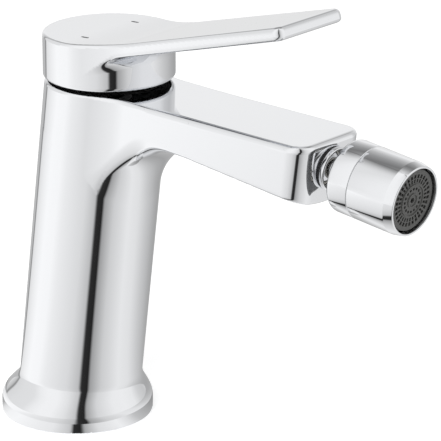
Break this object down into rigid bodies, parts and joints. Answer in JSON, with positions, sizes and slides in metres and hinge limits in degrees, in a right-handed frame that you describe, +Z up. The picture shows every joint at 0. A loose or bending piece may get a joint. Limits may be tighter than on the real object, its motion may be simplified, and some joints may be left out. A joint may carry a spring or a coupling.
{
  "type": "bidet mixer",
  "caption": "Single-lever bidet mixer: leaning one-piece chrome body with a flat-topped spout, wide upswept paddle lever and an aerator that swivels on a ball.",
  "frame": {"origin": "centre of the round foot on the deck, at the mouth of the stud hole", "axes": "+X along the spout towards the aerator, +Y towards the hot side, +Z up"},
  "size_m": [0.1734, 0.0524, 0.1592],
  "materials": {
    "chrome": "polished",
    "rubber": "matte",
    "black_plastic": "satin",
    "ceramic": "polished",
    "nylon": "satin",
    "brass": "machined",
    "steel": "machined",
    "grey_plastic": "satin",
    "mark_ink": "matte",
    "blue_plastic": "satin"
  },
  "bodies": {
    "mixer_body": {"body": "chrome", "base_gasket": "rubber", "cartridge_base": "black_plastic", "port_seals": "rubber", "fixed_disc": "ceramic", "cartridge_housing": "nylon", "clamp_nut": "brass", "cover_ring": "black_plastic", "outlet_nipple": "chrome", "nipple_washer": "rubber"},
    "rotor": {"stem_rotor": "nylon", "pivot_pin": "steel", "limit_ring": "black_plastic", "rotor_o_ring": "rubber"},
    "disc_group": {"disc_carrier": "nylon", "moving_disc": "ceramic"},
    "lever": {"control_stem": "steel", "lever_handle": "chrome", "grub_screw": "steel", "screw_plug": "grey_plastic", "hot_mark": "mark_ink", "cold_mark": "mark_ink"},
    "swivel_cup": {"ball_cup": "nylon"},
    "swivel_gasket": {"ball_gasket": "rubber"},
    "aerator": {"swivel_collar": "chrome", "aerator_sleeve": "chrome", "aerator_seal": "rubber", "flow_regulator": "blue_plastic", "mesh_screen": "steel", "aerator_insert": "black_plastic", "aerator_grille": "grey_plastic"}
  },
  "joints": [
    {"name": "lever_swing", "type": "hinge", "parent": "mixer_body", "child": "rotor", "pos_m": [0.0164, 0, 0.1069], "axis": [0, 0, 1], "range_deg": [-45, 45]},
    {"name": "lever_lift", "type": "hinge", "parent": "rotor", "child": "lever", "pos_m": [0.0164, 0, 0.1069], "axis": [0, -1, 0], "range_deg": [0, 20]},
    {"name": "disc_slide", "type": "slide", "parent": "rotor", "child": "disc_group", "axis": [1, 0, 0], "range_m": [0, 0.0031]},
    {"name": "swivel_yaw", "type": "hinge", "parent": "mixer_body", "child": "swivel_cup", "pos_m": [0.1229, 0, 0.10947], "axis": [0.1262, 0, 0.992], "range_deg": [-15, 15]},
    {"name": "swivel_pitch", "type": "hinge", "parent": "swivel_cup", "child": "swivel_gasket", "pos_m": [0.1229, 0, 0.10947], "axis": [0, 1, 0], "range_deg": [-15, 15]},
    {"name": "swivel_spin", "type": "hinge", "parent": "swivel_gasket", "child": "aerator", "pos_m": [0.1229, 0, 0.10947], "axis": [0.992, 0, -0.1262], "continuous": true}
  ],
  "couplings": [
    {"joint": "disc_slide", "follows": "lever_lift", "m_per_rad": 0.0087665}
  ]
}
